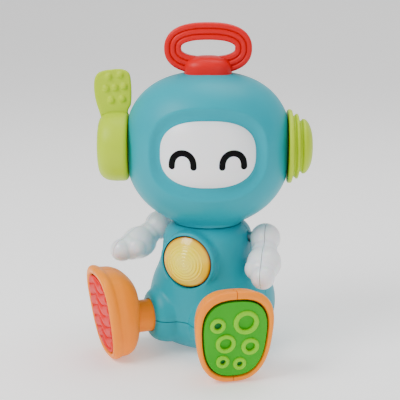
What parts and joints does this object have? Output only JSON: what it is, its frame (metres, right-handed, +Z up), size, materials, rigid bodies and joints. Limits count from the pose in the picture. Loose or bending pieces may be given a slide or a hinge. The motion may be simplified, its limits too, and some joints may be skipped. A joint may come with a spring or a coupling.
{
  "type": "toy robot",
  "caption": "Seated infant activity robot with a turning head, turning ears, press button, swinging mitt arms and twisting textured feet.",
  "frame": {"origin": "on the flat underside of the base cover, on the body's own upright axis through the neck", "axes": "+Z up, -Y the way the chest faces, +X the robot's left"},
  "size_m": [0.1587, 0.1456, 0.25],
  "materials": {
    "teal_plastic": "gloss",
    "lime_plastic": "satin",
    "red_rubber": "satin",
    "orange_plastic": "satin",
    "pearl_plastic": "pearly",
    "white_plastic": "satin",
    "yellow_lens": "clear gloss",
    "green_rubber": "satin",
    "steel": "bright",
    "circuit_board": "matte",
    "black_plastic": "matte",
    "battery_wrap": "gloss",
    "clear_led": "clear"
  },
  "bodies": {
    "torso": {"torso_front_shell": "teal_plastic", "torso_rear_shell": "teal_plastic", "base_cover": "teal_plastic", "battery_door": "teal_plastic", "battery_door_screw": "steel", "battery_cell_1": "battery_wrap", "battery_cell_2": "battery_wrap", "battery_cell_3": "battery_wrap", "battery_contact_left": "steel", "battery_contact_right": "steel", "circuit_board": "circuit_board", "button_switch": "black_plastic", "button_spring": "steel", "chest_light": "clear_led", "speaker": "black_plastic", "power_switch_body": "black_plastic", "body_screw_1": "steel", "body_screw_2": "steel", "body_screw_3": "steel", "body_screw_4": "steel", "base_screw_1": "steel", "base_screw_2": "steel"},
    "head": {"head_front_shell": "teal_plastic", "head_rear_shell": "teal_plastic", "face_panel": "white_plastic", "face_light_board": "circuit_board", "carry_loop": "red_rubber", "loop_mount": "red_rubber", "neck_hub": "white_plastic", "neck_retainer": "steel", "head_screw_1": "steel", "head_screw_2": "steel"},
    "paddle_ear": {"paddle_drum": "lime_plastic", "paddle_blade": "lime_plastic", "paddle_axle": "white_plastic", "paddle_click_wheel": "white_plastic"},
    "ridged_ear": {"ridged_cap": "lime_plastic", "ridged_axle": "white_plastic", "ridged_click_wheel": "white_plastic"},
    "chest_button": {"button_lens": "yellow_lens", "button_plunger": "white_plastic"},
    "power_switch": {"power_slider": "black_plastic"},
    "right_arm": {"right_arm_inner_shell": "pearl_plastic", "right_arm_outer_shell": "pearl_plastic", "right_shoulder_axle": "steel"},
    "right_foot": {"right_shoe_inner_half": "orange_plastic", "right_shoe_outer_half": "orange_plastic", "right_sole_pad": "red_rubber", "right_ankle_stub": "orange_plastic", "right_ankle_ring": "steel"},
    "left_arm": {"left_arm_inner_shell": "pearl_plastic", "left_arm_outer_shell": "pearl_plastic", "left_shoulder_axle": "steel"},
    "left_foot": {"left_shoe_inner_half": "orange_plastic", "left_shoe_outer_half": "orange_plastic", "left_sole_pad": "green_rubber", "left_ankle_stub": "orange_plastic", "left_ankle_ring": "steel"}
  },
  "joints": [
    {"name": "head_turn", "type": "hinge", "parent": "torso", "child": "head", "pos_m": [0, 0, 0.0997], "axis": [0, 0, 1], "range_deg": [-115, 65]},
    {"name": "paddle_ear_spin", "type": "hinge", "parent": "head", "child": "paddle_ear", "pos_m": [-0.06344, -0.02958, 0.1575], "axis": [0.9063, 0.4226, 0], "continuous": true},
    {"name": "ridged_ear_spin", "type": "hinge", "parent": "head", "child": "ridged_ear", "pos_m": [0.06344, 0.02958, 0.1575], "axis": [0.9063, 0.4226, 0], "continuous": true},
    {"name": "button_press", "type": "slide", "parent": "torso", "child": "chest_button", "axis": [0, 1, 0], "range_m": [0, 0.0025], "stiffness_N_per_m": 400, "springref_m": -0.001, "deforming": ["button_spring"]},
    {"name": "power_slide", "type": "slide", "parent": "torso", "child": "power_switch", "axis": [1, 0, 0], "range_m": [0, 0.006]},
    {"name": "right_arm_swing", "type": "hinge", "parent": "torso", "child": "right_arm", "pos_m": [-0.0455, 0.006, 0.089], "axis": [1, 0, 0], "range_deg": [-44, 11]},
    {"name": "left_arm_swing", "type": "hinge", "parent": "torso", "child": "left_arm", "pos_m": [0.0455, 0.006, 0.089], "axis": [1, 0, 0], "range_deg": [-55, 0]},
    {"name": "right_foot_twist", "type": "hinge", "parent": "torso", "child": "right_foot", "pos_m": [-0.04684, -0.05202, 0.0293], "axis": [-0.6691, -0.7431, 0], "continuous": true},
    {"name": "left_foot_twist", "type": "hinge", "parent": "torso", "child": "left_foot", "pos_m": [0.0431, -0.05516, 0.0293], "axis": [0.6157, -0.788, 0], "continuous": true}
  ]
}
